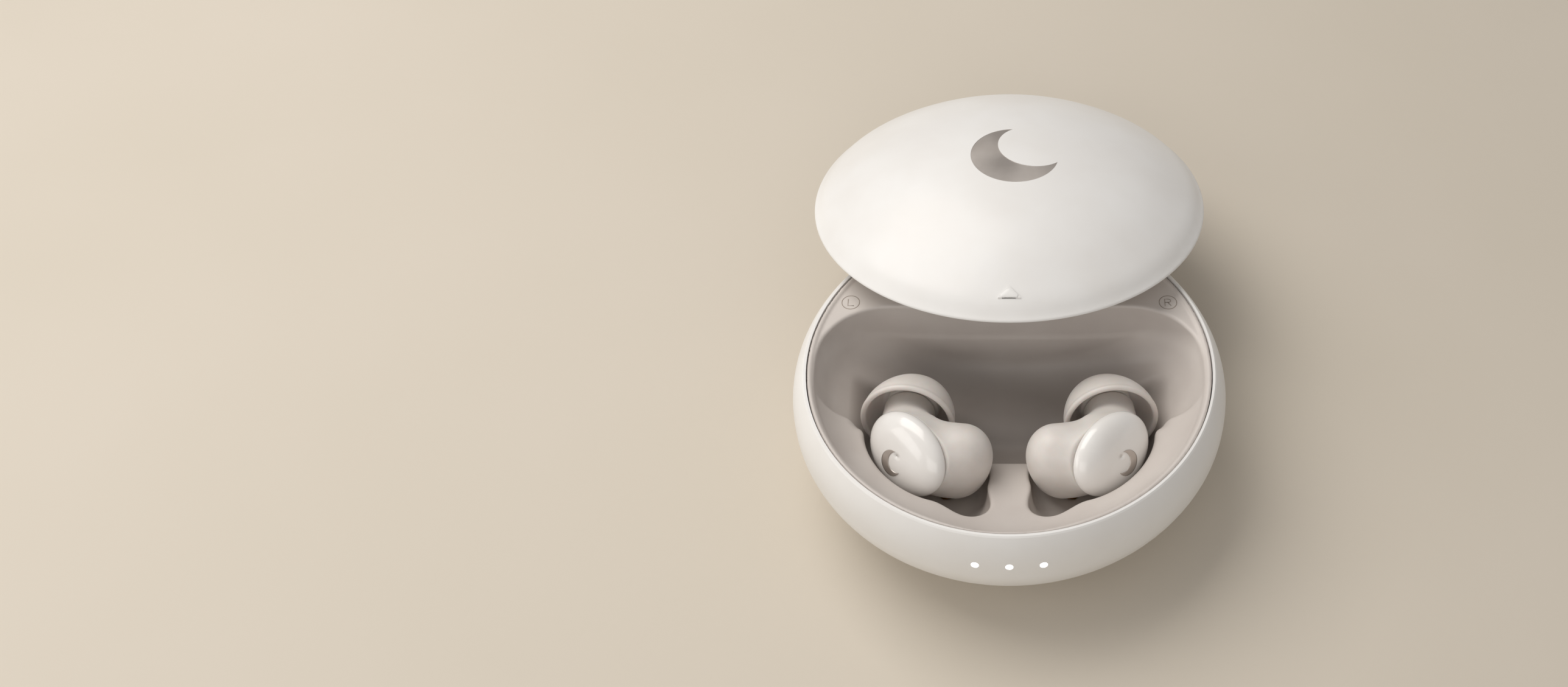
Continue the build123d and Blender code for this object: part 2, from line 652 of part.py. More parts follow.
def body_shell():
    room_inside = oval(shrunk(CORE_SEMI, CORE_WALL), -CORE_DEPTH + CORE_WALL, CAP_BACK)
    room_inside = fillet(room_inside.edges().group_by(Axis.Z)[0], 1.5)
    cup_room = Pos(LOBE_CENTRE[0], LOBE_CENTRE[1], -CUP_DEPTH + 0.45) * extrude(Circle(CUP_RADIUS - 0.45), 6)
    return core_outside() - on_bud(room_inside + cup_room) - nozzle_rod(NOZZLE_BORE, -3.0, 3.0)


def wing_sleeve():
    """Soft jacket round the body, with the round lobe that sits in the ear's bowl."""
    drum = oval(SLEEVE_SEMI, -SLEEVE_DEPTH, CAP_BACK - 0.1)
    drum = fillet(drum.edges().group_by(Axis.Z)[0], 2.9)
    sleeve = on_bud(drum + Pos(*LOBE_CENTRE) * Sphere(LOBE_RADIUS) + Pos(*LOBE_TOP) * Sphere(LOBE_TOP_RADIUS))
    sleeve -= on_bud(oval((20, 20), CAP_BACK - 0.1, 9))
    sleeve -= core_outside()
    sleeve -= nozzle_rod(STEM_RADIUS + 0.2, STEM_START - 0.2, 5)
    for x, y in CONTACT_POINTS:
        sleeve -= post(CONTACT_RADIUS, 5, x, y, CONTACT_Z + CONTACT_THICKNESS - 5)
    return max(sleeve.solids(), key=lambda solid: solid.volume)


def ear_tip():
    """Dome-shaped silicone tip with a hollow skirt round its stem."""
    outside = Spline(
        (TIP_RADIUS, 0, 0),
        (TIP_RADIUS * 0.955, 0, TIP_LENGTH * 0.24),
        (TIP_RADIUS * 0.82, 0, TIP_LENGTH * 0.54),
        (TIP_RADIUS * 0.58, 0, TIP_LENGTH * 0.84),
        (NOZZLE_BORE, 0, TIP_LENGTH),
        tangents=((0, 0, 1), (-1, 0, 0.05)),
    )
    inner_end = (STEM_RADIUS, 0, TIP_LENGTH * 0.68)
    inside = Spline(
        inner_end,
        (TIP_RADIUS * 0.70, 0, TIP_LENGTH * 0.50),
        (TIP_RADIUS * 0.85, 0, TIP_LENGTH * 0.25),
        (TIP_RADIUS - TIP_SKIRT, 0, 0),
    )
    stem_end = (STEM_RADIUS, 0, STEM_START)
    profile = (
        outside,
        Line((NOZZLE_BORE, 0, TIP_LENGTH), (NOZZLE_BORE, 0, TIP_LENGTH * 0.68)),
        Line((NOZZLE_BORE, 0, TIP_LENGTH * 0.68), (NOZZLE_RADIUS, 0, TIP_LENGTH * 0.68)),
        Line((NOZZLE_RADIUS, 0, TIP_LENGTH * 0.68), (NOZZLE_RADIUS, 0, STEM_START)),
        Line((NOZZLE_RADIUS, 0, STEM_START), stem_end),
        Line(stem_end, inner_end),
        inside,
        Line((TIP_RADIUS - TIP_SKIRT, 0, 0), (TIP_RADIUS, 0, 0)),
    )
    return on_tip(spun(*profile))


def charge_contacts():
    return Compound(
        children=[post(CONTACT_RADIUS, CONTACT_THICKNESS, x, y, CONTACT_Z) for x, y in CONTACT_POINTS]
    )


def nozzle_mesh():
    return nozzle_rod(NOZZLE_RADIUS - 0.05, 2.0, 2.3)


def speaker_driver():
    coil = Pos(-2.4, -0.2, -4.1) * extrude(Circle(2.6), 1.9)
    return on_bud(coil + Pos(-2.4, -0.2, -2.2) * extrude(Circle(1.6), 0.5))


def button_cell():
    return on_bud(Pos(LOBE_CENTRE[0], LOBE_CENTRE[1], -CUP_DEPTH + 0.5) * extrude(Circle(CUP_RADIUS - 0.55), 3.2))


def earbud_pcb():
    return on_bud(oval(shrunk(CORE_SEMI, CORE_WALL + 0.15), -1.4, -0.8))


def earbud_magnet():
    return on_bud(Pos(2.4, 1.4, -3.4) * extrude(Circle(1.2), 1.4))


EARBUD_PARTS = {
    "face_cap": face_cap,
    "cap_emblem": cap_emblem,
    "body_shell": body_shell,
    "wing_sleeve": wing_sleeve,
    "ear_tip": ear_tip,
    "nozzle_mesh": nozzle_mesh,
    "charge_contacts": charge_contacts,
    "speaker_driver": speaker_driver,
    "button_cell": button_cell,
    "earbud_pcb": earbud_pcb,
    "earbud_magnet": earbud_magnet,
}

CRADLE_PARTS = {
    "pogo_barrels": pogo_barrels,
    "pogo_plungers": pogo_plungers,
    "pogo_board": pogo_board,
    "cradle_magnet": lambda: post(*CRADLE_MAGNET_SIZE, *CRADLE_MAGNET_PLACE),
}

LID_PARTS = {
    "lid_dome": lid_dome,
    "lid_emblem": lid_emblem,
    "lid_liner": lid_liner,
    "guide_track": guide_track,
    "track_screws": track_screws,
    "stop_bumpers": stop_bumpers,
    "lid_magnets": lambda: magnets(LINER_Z + 0.05, 1.4),
}


def case_shell():
    """The outer shell with the bosses of the main board."""
    shell = outer_shell()
    for boss in pcb_bosses():
        shell += boss
    return shell


CASE_PARTS = {
    "outer_shell": case_shell,
    "inner_tray": inner_tray,
    "main_pcb": main_pcb,
    "pcb_screws": lambda: screws([(-PCB_SCREW_X, PCB_SCREW_Y), (PCB_SCREW_X, PCB_SCREW_Y)], PCB_TOP, 2.4),
    "charge_chips": lambda: Compound(
        children=[box((x - 1.8, x + 1.8), (20.4, 22.4), (PCB_TOP, PCB_TOP + 0.9)) for x in (-8, 8)]
    ),
    "usb_c_receptacle": usb_c_receptacle,
    "usb_tongue": usb_tongue,
    "battery_cell": lambda: fillet(
        box((-14, 14), (14.2, 19.8), (PCB_TOP + 0.7, 17.0)).edges().filter_by(Axis.X), 1.2
    ),
    "battery_foam": lambda: box((-12, 12), (13.4, 14.2), (11, 16.5)),
    "closure_magnets": lambda: magnets(DECK_Z - TRAY_WALL - 2.0, 2.0),
    "hall_sensor": lambda: box((5.5, 7.3), (24.6, 25.6), (17.4, 18.6)),
    "button_board": lambda: box((-8, 8), (25.6, 26.2), (13.4, 18.8)) & post(28.6, 40, 0, 0, 0),
    "tact_switch": lambda: box((-1.7, 1.7), (26.2, 27.4), (BUTTON_Z - 1.7, BUTTON_Z + 1.7))
    + rod(0.9, 27.4, 27.95, 0, BUTTON_Z),
    "pairing_button": pairing_button,
    "light_guides": light_guides,
    "led_board": led_board,
    "led_chips": led_chips,
    "led_flex": led_flex,
    "slide_shoe": slide_shoe,
    "shoe_screws": lambda: screws([(x, SHOE_MIDDLE_Y) for x in SHOE_SCREW_X], SHOE_SCREW_HEAD_Z, 4.2),
}


def write(name, shape):
    shape.label = name
    export_step(shape, f"parts/{name}.step")


for name, make in CASE_PARTS.items():
    write(name, make())
for name, make in LID_PARTS.items():
    write(name, opened(make()))
for name, make in (*CRADLE_PARTS.items(), *EARBUD_PARTS.items()):
    left = make()
    write(f"{name}_left", left)
    write(f"{name}_right", mirrored(left))
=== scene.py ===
import json
import math

import bmesh
import bpy
import numpy as np
from mathutils import Matrix, Vector


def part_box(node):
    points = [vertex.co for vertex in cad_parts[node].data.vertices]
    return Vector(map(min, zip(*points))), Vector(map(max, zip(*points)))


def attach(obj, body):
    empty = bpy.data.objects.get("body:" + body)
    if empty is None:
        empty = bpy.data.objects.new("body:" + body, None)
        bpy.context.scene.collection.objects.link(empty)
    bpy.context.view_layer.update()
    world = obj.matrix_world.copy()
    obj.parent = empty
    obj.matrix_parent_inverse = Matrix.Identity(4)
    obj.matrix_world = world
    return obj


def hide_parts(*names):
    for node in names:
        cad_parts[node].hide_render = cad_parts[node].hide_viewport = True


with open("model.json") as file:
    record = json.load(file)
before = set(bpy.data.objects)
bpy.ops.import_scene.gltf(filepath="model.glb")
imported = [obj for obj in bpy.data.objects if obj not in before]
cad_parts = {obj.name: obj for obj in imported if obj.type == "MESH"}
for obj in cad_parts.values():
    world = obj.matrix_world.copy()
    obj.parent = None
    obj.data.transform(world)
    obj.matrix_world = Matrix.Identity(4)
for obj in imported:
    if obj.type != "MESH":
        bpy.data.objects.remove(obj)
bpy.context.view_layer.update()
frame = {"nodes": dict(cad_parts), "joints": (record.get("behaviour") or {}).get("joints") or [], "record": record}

MM = 0.001
SIDES = ("left", "right")


# ---------------------------------------------------------------- materials
def colour(hex_code):
    """A linear colour from a hex code."""
    parts = [int(hex_code[i : i + 2], 16) / 255 for i in (0, 2, 4)]
    return [p / 12.92 if p <= 0.04045 else ((p + 0.055) / 1.055) ** 2.4 for p in parts] + [1.0]


def material(name, light, dark, rough, patch=6.0, grain=0.05, bump=0.05, **sockets):
    """A moulded or milled surface: two close tones in soft patches, uneven roughness and a fine grained bump.

    patch and grain are the sizes of the patches and of the grain in millimetres.
    """
    made = bpy.data.materials.new(name)
    made.use_nodes = True
    nodes, links = made.node_tree.nodes, made.node_tree.links
    shader = nodes["Principled BSDF"]
    place = nodes.new("ShaderNodeTexCoord")
    clouds = nodes.new("ShaderNodeTexNoise")
    clouds.inputs["Scale"].default_value = 1 / (patch * MM)
    clouds.inputs["Detail"].default_value = 3.0
    links.new(place.outputs["Object"], clouds.inputs["Vector"])
    tones = nodes.new("ShaderNodeValToRGB")
    tones.color_ramp.elements[0].position = 0.3
    tones.color_ramp.elements[0].color = colour(dark)
    tones.color_ramp.elements[1].position = 0.7
    tones.color_ramp.elements[1].color = colour(light)
    links.new(clouds.outputs["Fac"], tones.inputs["Fac"])
    links.new(tones.outputs["Color"], shader.inputs["Base Color"])
    grains = nodes.new("ShaderNodeTexNoise")
    grains.inputs["Scale"].default_value = 1 / (grain * MM)
    grains.inputs["Detail"].default_value = 2.0
    links.new(place.outputs["Object"], grains.inputs["Vector"])
    uneven = nodes.new("ShaderNodeMapRange")
    uneven.inputs["To Min"].default_value = rough * 0.88
    uneven.inputs["To Max"].default_value = rough * 1.12
    links.new(clouds.outputs["Fac"], uneven.inputs["Value"])
    links.new(uneven.outputs["Result"], shader.inputs["Roughness"])
    relief = nodes.new("ShaderNodeBump")
    relief.inputs["Strength"].default_value = bump
    relief.inputs["Distance"].default_value = grain * MM * 0.3
    links.new(grains.outputs["Fac"], relief.inputs["Height"])
    links.new(relief.outputs["Normal"], shader.inputs["Normal"])
    for socket, value in sockets.items():
        shader.inputs[socket.replace("_", " ")].default_value = value
    return made


MATERIALS = {
    "pearl_shell": material(
        "pearl_shell", "EEEDEB", "EAE8E5", 0.5, patch=9, grain=0.12, bump=0.08,
        Coat_Weight=0.35, Coat_Roughness=0.22, Sheen_Weight=0.05,
    ),
    "tray_plastic": material(
        "tray_plastic", "D3CCC6", "CDC5BF", 0.48, patch=7, grain=0.10, bump=0.10,
        Coat_Weight=0.12, Coat_Roughness=0.35,
    ),
    "pearl_gloss": material(
        "pearl_gloss", "EFEDEA", "EAE7E3", 0.24, patch=5, grain=0.10, bump=0.04,
        Coat_Weight=0.6, Coat_Roughness=0.08,
    ),
    "silicone": material(
        "silicone", "DFDAD5", "D8D2CC", 0.42, patch=3, grain=0.08, bump=0.10,
        Subsurface_Weight=0.12, Subsurface_Scale=0.002, Sheen_Weight=0.12,
    ),
    "body_plastic": material("body_plastic", "B9B1A8", "B0A79E", 0.5, patch=3, bump=0.1),
    "emblem_metal": material(
        "emblem_metal", "CBC4BE", "BEB6AF", 0.4, patch=5, grain=0.08, bump=0.35,
        Metallic=0.85, Anisotropic=0.4,
    ),
    "circuit_board": material("circuit_board", "1E4B33", "173C29", 0.45, patch=2, bump=0.2),
    "chip_black": material("chip_black", "1D1D1F", "151516", 0.5, patch=1, bump=0.2),
    "foam_black": material("foam_black", "2B2A29", "1F1E1D", 0.9, patch=0.6, grain=0.2, bump=0.9),
    "battery_wrap": material("battery_wrap", "A9ACB0", "9A9DA2", 0.35, patch=3, bump=0.1, Metallic=0.6),
    "steel": material("steel", "C4C4C6", "AEAEB2", 0.28, patch=1, bump=0.15, Metallic=1.0),
    "gold": material("gold", "D9B36A", "C79F55", 0.24, patch=0.8, bump=0.1, Metallic=1.0),
    "magnet": material("magnet", "9FA1A5", "8B8D92", 0.25, patch=1, bump=0.1, Metallic=1.0),
    "light_guide": material("light_guide", "FFFFFF", "F6F6F4", 0.3, patch=0.5, bump=0.05),
    "led": material("led", "FFF6DC", "F4EAC8", 0.4, patch=0.4, bump=0.1),
    "flex": material("flex", "8A5A2A", "774B20", 0.4, patch=1.5, bump=0.15),
    "slide_plastic": material("slide_plastic", "CFC9C2", "C4BDB5", 0.42, patch=2, bump=0.1),
    "mesh": material("mesh", "6C6966", "4A4846", 0.5, patch=0.15, grain=0.15, bump=0.9, Metallic=0.7),
}
# Painted shade: the tray's colour is darkened towards the bottom of its trough, standing in for the shade under
# the open lid.
PAINTED_SHADE_TONE = "5A514B"
PAINTED_SHADE_HEIGHTS = (0.005, 0.015)     # metres: full painted shade below the first, none above the second
PAINTED_SHADE_DEPTHS = (-0.0145, -0.0085)  # metres along Y: no painted shade in front of the first
PAINTED_SHADE_SHARE = 0.6
GLOWS = (("light_guide", 2.2), ("led", 1.0))


def paint_trough_shade(name):
    """Paints shade into a material: darkens its colour softly towards the bottom of the tray's trough, where the
    lid shades it.
    """
    nodes, links = MATERIALS[name].node_tree.nodes, MATERIALS[name].node_tree.links
    shader = nodes["Principled BSDF"]
    tone = shader.inputs["Base Color"].links[0].from_socket
    place = nodes.new("ShaderNodeTexCoord")
    split = nodes.new("ShaderNodeSeparateXYZ")
    links.new(place.outputs["Object"], split.inputs["Vector"])
    depth = nodes.new("ShaderNodeMapRange")
    depth.interpolation_type = "SMOOTHSTEP"
    depth.inputs["From Min"].default_value = PAINTED_SHADE_HEIGHTS[0]
    depth.inputs["From Max"].default_value = PAINTED_SHADE_HEIGHTS[1]
    depth.inputs["To Min"].default_value = PAINTED_SHADE_SHARE
    depth.inputs["To Max"].default_value = 0.0
    links.new(split.outputs["Z"], depth.inputs["Value"])
    reach = nodes.new("ShaderNodeMapRange")
    reach.interpolation_type = "SMOOTHSTEP"
    reach.inputs["From Min"].default_value = PAINTED_SHADE_DEPTHS[0]
    reach.inputs["From Max"].default_value = PAINTED_SHADE_DEPTHS[1]
    links.new(split.outputs["Y"], reach.inputs["Value"])
    shade_amount = nodes.new("ShaderNodeMath")
    shade_amount.operation = "MULTIPLY"
    links.new(depth.outputs["Result"], shade_amount.inputs[0])
    links.new(reach.outputs["Result"], shade_amount.inputs[1])
    shaded_tone = nodes.new("ShaderNodeMix")
    shaded_tone.data_type = "RGBA"
    links.new(shade_amount.outputs[0], shaded_tone.inputs["Factor"])
    links.new(tone, shaded_tone.inputs["A"])
    shaded_tone.inputs["B"].default_value = colour(PAINTED_SHADE_TONE)
    links.new(shaded_tone.outputs["Result"], shader.inputs["Base Color"])


def glow(name, strength):
    """Lets a material give off white light."""
    shader = MATERIALS[name].node_tree.nodes["Principled BSDF"]
    shader.inputs["Emission Color"].default_value = colour("FFFFFF")
    shader.inputs["Emission Strength"].default_value = strength


def paint(shown, slot):
    """Gives an object the material of a slot, and no other."""
    shown.data.materials.clear()
    shown.data.materials.append(MATERIALS[slot])


# Painted shade in the tray's trough.
paint_trough_shade("tray_plastic")
for name, strength in GLOWS:
    glow(name, strength)
for part in frame["record"]["subparts"]:
    paint(frame["nodes"][part["node"]], part["material_slot"])


# ---------------------------------------------------------------- meshes from fields
# A field gives the distance to a surface at points in millimetres, negative inside it.
def fillet_max(a, b, radius):
    """The space inside both fields, with a fillet of that radius where they meet."""
    beyond = np.hypot(np.maximum(a + radius, 0), np.maximum(b + radius, 0))
    return np.minimum(np.maximum(a, b), -radius) + beyond


def fillet_min(a, b, radius):
    """The space inside either field, with a fillet of that radius where they meet."""
    return -fillet_max(-a, -b, radius)


def ellipse_field(x, y, semi):
    """Near enough the distance to an upright elliptical wall."""
    unit = np.hypot(x / semi[0], y / semi[1])
    slope = np.hypot(x / semi[0] ** 2, y / semi[1] ** 2)
    return unit * (unit - 1) / np.maximum(slope, 1e-6)


def crossings(value):
    """Which cells of a grid the surface passes through, and the surface's mean place in each cell."""
    cells = np.array(value.shape) - 1
    place, count = np.zeros((*cells, 3)), np.zeros(cells)
    for axis in range(3):
        first = np.delete(value, -1, axis)
        second = np.delete(value, 0, axis)
        cross = (first < 0) != (second < 0)
        share = np.where(cross, first / np.where(cross, first - second, 1), 0)
        across, along = [k for k in range(3) if k != axis]
        for i in (0, 1):
            for j in (0, 1):
                cut = [slice(None)] * 3
                cut[across] = slice(i, i + cells[across])
                cut[along] = slice(j, j + cells[along])
                hit = cross[tuple(cut)]
                count += hit
                place[..., axis] += share[tuple(cut)]
                place[..., across] += i * hit
                place[..., along] += j * hit
    return count, place


def cell_quads(value, index):
    """Four cells round every grid edge that the surface crosses, in order, facing outwards."""
    quads = []
    for axis in range(3):
        first = np.delete(value, -1, axis)
        second = np.delete(value, 0, axis)
        across, along = [k for k in range(3) if k != axis]
        for leaving in (True, False):
            cross = (first < 0) & (second >= 0) if leaving else (first >= 0) & (second < 0)
            place = np.argwhere(cross)
            inner = (place[:, across] > 0) & (place[:, along] > 0)
            inner &= (place[:, across] < value.shape[across] - 1) & (place[:, along] < value.shape[along] - 1)
            place = place[inner]
            corners = []
            for i, j in ((1, 1), (0, 1), (0, 0), (1, 0)):
                cell = place.copy()
                cell[:, across] -= i
                cell[:, along] -= j
                corners.append(index[tuple(cell.T)])
            ring = np.stack(corners, 1)
            quads.append(ring if leaving == (axis != 1) else ring[:, ::-1])
    return np.concatenate(quads)


def skin(field, low, high, step):
    """Points and faces of the surface of a field between two corners."""
    axes = [np.arange(a, b + step, step) for a, b in zip(low, high)]
    value = field(*np.meshgrid(*axes, indexing="ij"))
    count, place = crossings(value)
    index = np.where(count > 0, np.cumsum(count > 0).reshape(count.shape) - 1, -1)
    cells = np.argwhere(count > 0)
    points = np.array(low) + step * (cells + place[count > 0] / count[count > 0][:, None])
    return settled(field, points, step), cell_quads(value, index)


def settled(field, points, step):
    """The points moved onto the surface itself."""
    nudge = 0.02
    for _ in range(3):
        here = field(*points.T)
        slope = np.empty_like(points)
        for axis in range(3):
            shift = np.zeros(3)
            shift[axis] = nudge
            slope[:, axis] = (field(*(points + shift).T) - field(*(points - shift).T)) / (2 * nudge)
        move = -here / np.maximum((slope**2).sum(1), 0.25)
        points = points + slope * np.clip(move, -step / 2, step / 2)[:, None]
    return points


def spin(profile, turns=96, squeeze=(1.0, 1.0)):
    """Points and faces of a closed profile of (radius, height) pairs turned about Z."""
    angles = np.linspace(0, 2 * np.pi, turns, endpoint=False)
    rings = [
        np.stack([r * np.cos(angles) * squeeze[0], r * np.sin(angles) * squeeze[1], np.full(turns, z)], 1)
        for r, z in profile
    ]
    faces = []
    for i in range(len(profile)):
        j = (i + 1) % len(profile)
        for k in range(turns):
            m = (k + 1) % turns
            faces.append((i * turns + k, i * turns + m, j * turns + m, j * turns + k))
    return np.concatenate(rings), faces


def piece(name, points, faces, body, slot, replaces=()):
    """A shown piece of the object, from points in millimetres, that rides on a body."""
    data = bpy.data.meshes.new(name)
    data.from_pydata((np.asarray(points) * MM).tolist(), [], [list(face) for face in faces])
    mesh = bmesh.new()
    mesh.from_mesh(data)
    bmesh.ops.remove_doubles(mesh, verts=mesh.verts, dist=1e-7)
    bmesh.ops.recalc_face_normals(mesh, faces=mesh.faces)
    mesh.to_mesh(data)
    mesh.free()
    data.polygons.foreach_set("use_smooth", np.ones(len(data.polygons), bool))
    made = bpy.data.objects.new(name, data)
    bpy.context.scene.collection.objects.link(made)
    paint(made, slot)
    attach(made, body)
    if replaces:
        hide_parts(*replaces)
    return made


# ---------------------------------------------------------------- tray
TRAY_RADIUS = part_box("inner_tray")[1].x / MM
LIP_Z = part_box("inner_tray")[1].z / MM
LIP_WIDTH = 0.5
DECK_Z = LIP_Z - 0.3
TRAY_WALL = 1.1
SHELF_Z = 14.0               # middle of the front shelf
SHELF_POWER = 7.8            # how late the shelf turns up into the rim
CORNER_CENTRE = (17.4, 0.1)  # rear corners of the opening
CORNER_RADIUS = 11.1
TROUGH_Z = 5.0
TROUGH_FRONT_Y = -5.0
TROUGH_ROUND = 5.5
BOWL_DEPTH = 13.83           # depth of the rounded room inside the shell
BOWL_Z = 15.63
BOWL_POWER = 2.363
TROUGH_POWER = 1.6           # roundness of the trough's sloping ends
TROUGH_SUNK = 0.45           # depth of the ends' lowest point below the trough's floor
RAMP_FOOT = (-2.0, 5.0)      # y and z
RAMP_TOP = (-13.0, 14.5)
RAMP_HALF_WIDTH = 5.5
RAMP_CREST = 8.0             # roundness where the ramp meets the shelf
WELL_Z = 6.6
WELL_CENTRE = (-11.9, -9.35)
WELL_SEMI = (10.6, 7.95)
WELL_TURN = math.radians(-51.4)
POCKET_CENTRE = (-5.6, -18.6)
POCKET_RADIUS = 2.9
POCKET_Z = 9.5
TIP_PLACE = (-14.85, 13.3)   # x and z of an ear tip's centre
TIP_GAP_RADIUS = 7.4
TIP_GAP_EDGE = 1.4
TIP_GAP_Y = (-6.2, 4.5)
PIN_RADIUS = 0.5
PIN_HOLE_RADIUS = 1.15


def bowl_field(r, z, radius, top, height, power):
    """A rounded bowl of that rim radius, upright above its top and height deep below it."""
    depth = np.clip((top - z) / height, 0, 1.2)
    level = (r / radius) ** 2 + depth**power - 1
    slope = np.hypot(2 * r / radius**2, power / height * depth ** (power - 1))
    return level / np.maximum(slope, 0.02)


def opening_field(x, y, r):
    """Outline of the opening in the deck, seen from above."""
    across, along = np.abs(x) - CORNER_CENTRE[0], y - CORNER_CENTRE[1]
    corner = np.hypot(np.maximum(across, 0), np.maximum(along, 0))
    outline = corner + np.minimum(np.maximum(across, along), 0) - CORNER_RADIUS
    return fillet_max(outline, r - TRAY_RADIUS + LIP_WIDTH, 1.0)


def trough_field(x, y, z, r):
    """The deep hollow behind the earbuds."""
    deep = fillet_max(TROUGH_Z - z, opening_field(x, y, r), TROUGH_ROUND)
    depth = LIP_Z - TROUGH_Z + TROUGH_SUNK
    ends = bowl_field(r, z, TRAY_RADIUS - LIP_WIDTH, LIP_Z, depth, TROUGH_POWER)
    deep = fillet_max(deep, ends, 3.0)
    return fillet_max(deep, TROUGH_FRONT_Y - y, 1.5)


def shelf_field(x, y, z, r):
    """The space over the front shelf, which turns up into the rim."""
    edge = TRAY_RADIUS - LIP_WIDTH
    share = np.minimum(r / edge, 1.02)
    height = SHELF_Z + (LIP_Z - SHELF_Z) * share**SHELF_POWER
    slope = (LIP_Z - SHELF_Z) * SHELF_POWER / edge * share ** (SHELF_POWER - 1)
    return fillet_max((height - z) / np.hypot(1, slope), opening_field(x, y, r), 0.8)


def ramp_field(x, y, z):
    """The slope from the shelf down into the trough, between the two earbuds."""
    (foot_y, foot_z), (top_y, top_z) = RAMP_FOOT, RAMP_TOP
    run, rise = foot_y - top_y, top_z - foot_z
    above = -((y - foot_y) * rise + (z - foot_z) * run) / math.hypot(run, rise)
    return fillet_max(fillet_max(above, np.abs(x) - RAMP_HALF_WIDTH, 2.5), y - foot_y + 1, 0.5)


def well_field(x, y, z):
    """The oval well of the left earbud, with the finger pocket beside it."""
    across, along = x - WELL_CENTRE[0], y - WELL_CENTRE[1]
    turned_x = across * math.cos(WELL_TURN) + along * math.sin(WELL_TURN)
    turned_y = along * math.cos(WELL_TURN) - across * math.sin(WELL_TURN)
    well = fillet_max(ellipse_field(turned_x, turned_y, WELL_SEMI), WELL_Z - z, 2.5)
    pocket_wall = np.hypot(x - POCKET_CENTRE[0], y - POCKET_CENTRE[1]) - POCKET_RADIUS
    return fillet_min(well, fillet_max(pocket_wall, POCKET_Z - z, 2.4), 2.6)


def tip_gap_field(x, y, z):
    """The room round the left ear tip."""
    round_wall = np.hypot(x - TIP_PLACE[0], np.minimum(z - TIP_PLACE[1], 0)) - TIP_GAP_RADIUS
    ends = np.maximum(y - TIP_GAP_Y[1], TIP_GAP_Y[0] - y)
    return fillet_max(round_wall, ends, 1.0)


def open_field(x, y, z):
    """Everything that is open above the tray."""
    x, r = -np.abs(x), np.hypot(x, y)
    space = fillet_min(shelf_field(x, y, z, r), trough_field(x, y, z, r), 0.7)
    space = fillet_min(space, ramp_field(x, y, z), RAMP_CREST)
    space = fillet_min(space, well_field(x, y, z), 0.6)
    space = fillet_min(space, tip_gap_field(x, y, z), TIP_GAP_EDGE)
    over_deck = fillet_max(DECK_Z - z, r - TRAY_RADIUS + LIP_WIDTH, 0.4)
    return fillet_min(fillet_min(space, over_deck, 0.4), LIP_Z - z, 0.15)


def tray_field(x, y, z):
    """The tray's even wall under the open space, with the holes for the charging pins."""
    space = open_field(x, y, z)
    r = np.hypot(x, y)
    room = bowl_field(r, z, TRAY_RADIUS, BOWL_Z + 0.25, BOWL_DEPTH, BOWL_POWER)
    wall = np.maximum(space - TRAY_WALL, room)
    solid = fillet_max(-space, np.maximum(wall, r - TRAY_RADIUS), 0.12)
    for place_x, place_y in PIN_PLACES:
        hole = np.hypot(np.abs(x) + place_x, y - place_y) - PIN_HOLE_RADIUS
        solid = np.maximum(solid, -np.maximum(hole, z - WELL_Z - 2))
    return solid


def pin_places():
    """Where the left pair of charging pins stands: in two opposite corners of its box."""
    low, high = (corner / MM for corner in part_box("pogo_plungers_left"))
    return ((high.x - PIN_RADIUS, high.y - PIN_RADIUS), (low.x + PIN_RADIUS, low.y + PIN_RADIUS))


PIN_PLACES = pin_places()


def inner_tray():
    """The tray as one smooth shell."""
    reach = TRAY_RADIUS + 0.5
    low_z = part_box("inner_tray")[0].z / MM - 0.5
    step = 0.3
    points, faces = skin(tray_field, (-reach, -reach, low_z), (reach, reach, LIP_Z + 0.5), step)
    piece("tray", points, faces, "case", "tray_plastic", ["inner_tray"])


inner_tray()


# ---------------------------------------------------------------- earbuds (drawn for the left one)
BUD_CENTRE = Vector((-14.25, -11.65, 15.8))   # middle of the seam between cap and body
BUD_Z = Vector((-0.615, -0.580, 0.534)).normalized()
BUD_X = Vector((0, 0, 1)).cross(BUD_Z).normalized()
BUD_TURN = np.array((BUD_X, BUD_Z.cross(BUD_X), BUD_Z))
TIP_CENTRE = Vector((-14.85, -4.05, 13.3))    # middle of the ear tip's open rim
TIP_AXIS = Vector((0.12, 0.98, -0.16)).normalized()
CAP_SEMI = (7.1, 5.5)
CAP_LOW = -0.3
CAP_RISE = 2.95              # height of the cap's dome
CAP_EDGE = 2.7               # how square the dome's sides are
CAP_CROWN = 2.1              # how flat the dome's top is
CAP_SKIRT = 0.45             # height of the upright edge below the dome
CORE_SEMI = (6.2, 4.7)
CORE_DEPTH = 5.3
SLEEVE_SEMI = (6.85, 5.25)
SLEEVE_DEPTH = 6.2
LOBE = ((3.9, -0.4, -6.4), 4.85)
LOBE_TOP = ((5.0, 3.1, -5.1), 3.85)
NECK_RADIUS = 3.75
NECK_REACH = 2.6             # how far the neck goes inside the ear tip
CUP_RADIUS = 2.9
CUP_DEPTH = 8.4
CUP_HEIGHT = 5.0
CONTACT_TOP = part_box("charge_contacts_left")[1].z / MM
CONTACT_HOLE_RADIUS = 0.8
TIP_RADIUS = 6.95
TIP_LENGTH = 6.9
TIP_MOUTH = 1.75             # outer radius at the small end
TIP_BEAD = 0.42              # radius of the rolled rim
TIP_LEAN = 0.9               # how far the tip's top leans towards the case's middle
EMBLEM_CENTRE = (-0.4, -1.5)
EMBLEM_RADIUS = 1.9
EMBLEM_THICK = 0.25
EMBLEM_PROUD = 0.08


def ball_field(x, y, z, ball):
    """Distance to a ball given as its centre and radius."""
    (cx, cy, cz), radius = ball
    return np.sqrt((x - cx) ** 2 + (y - cy) ** 2 + (z - cz) ** 2) - radius


def from_bud(points):
    """Points in the bud's own frame, put in the case's frame."""
    return np.asarray(points) @ BUD_TURN + np.array(BUD_CENTRE)


